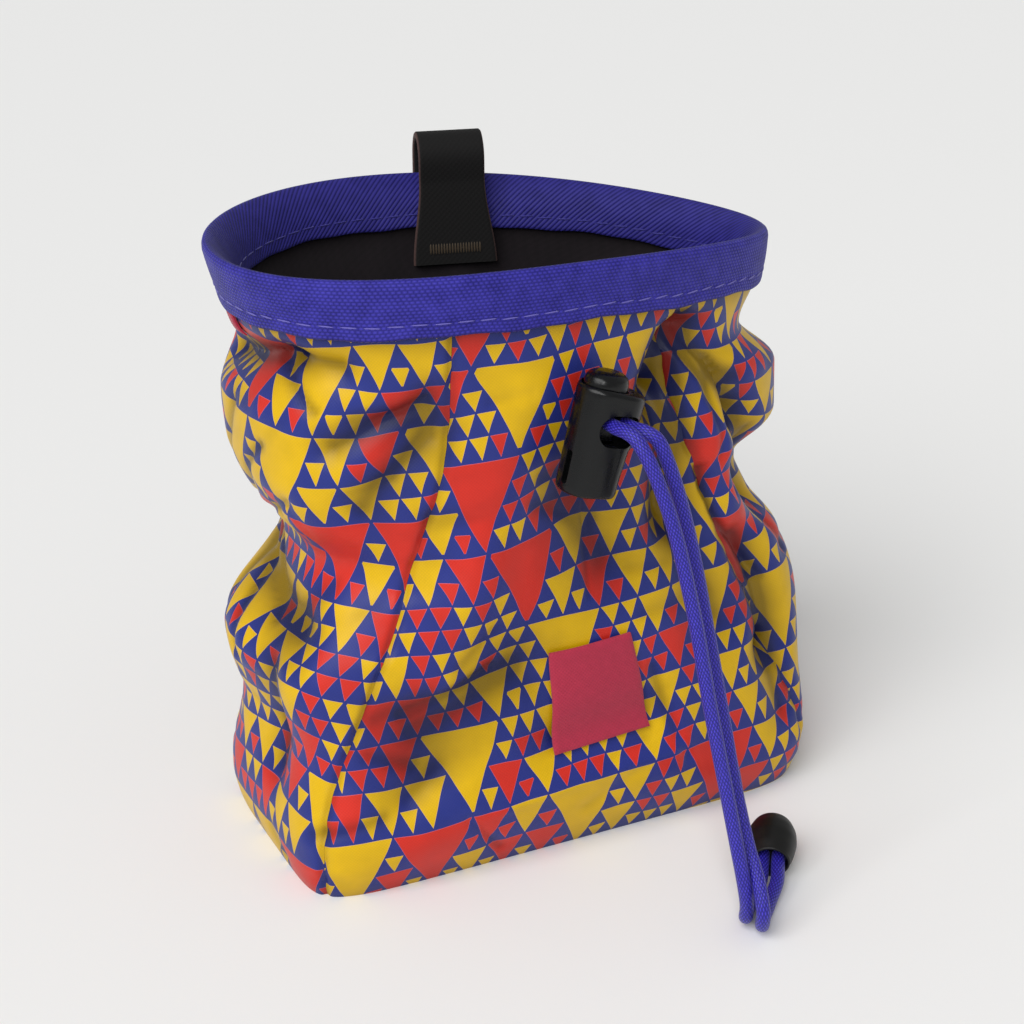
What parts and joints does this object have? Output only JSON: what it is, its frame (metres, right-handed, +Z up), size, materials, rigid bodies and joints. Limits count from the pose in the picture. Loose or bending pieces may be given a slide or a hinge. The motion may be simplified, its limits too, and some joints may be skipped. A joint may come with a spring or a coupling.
{
  "type": "climbing chalk bag",
  "caption": "Open drawstring chalk bag with printed fabric panels, tape-bound rim, dark lining, webbing hang loop and a two-strand cord through a spring cord lock.",
  "frame": {"origin": "On the surface it stands on, under the middle of the bag's box with the free cord left out", "axes": "+X is to the right seen from the front, +Y is to the back, and +Z is up; the front panel with the cord lock faces -Y"},
  "size_m": [0.1292, 0.1327, 0.1423],
  "materials": {
    "print": "woven polyester printed with yellow and red triangles on blue",
    "lining": "dark brushed fleece",
    "tape": "woven purple-blue binding tape",
    "webbing": "black woven webbing",
    "lock_plastic": "moulded black acetal, satin",
    "cord": "braided blue-violet accessory cord",
    "stopper_rubber": "moulded black soft plastic, matt",
    "label": "woven red label"
  },
  "bodies": {
    "bag": {"front_panel": "print", "back_panel": "print", "gusset_left": "print", "gusset_right": "print", "base_panel": "print", "lining": "lining", "rim_binding": "tape", "hang_loop": "webbing", "cord_lock_body": "lock_plastic", "cord_left": "cord", "cord_right": "cord", "cord_stopper": "stopper_rubber", "label_patch": "label", "side_tab": "label"},
    "button": {"cord_lock_button": "lock_plastic"}
  },
  "joints": [
    {"name": "button_press", "type": "slide", "parent": "bag", "child": "button", "axis": [0.225, 0, 0.9744], "range_m": [-0.002, 0], "stiffness_N_per_m": 800, "springref_m": 0.003}
  ]
}
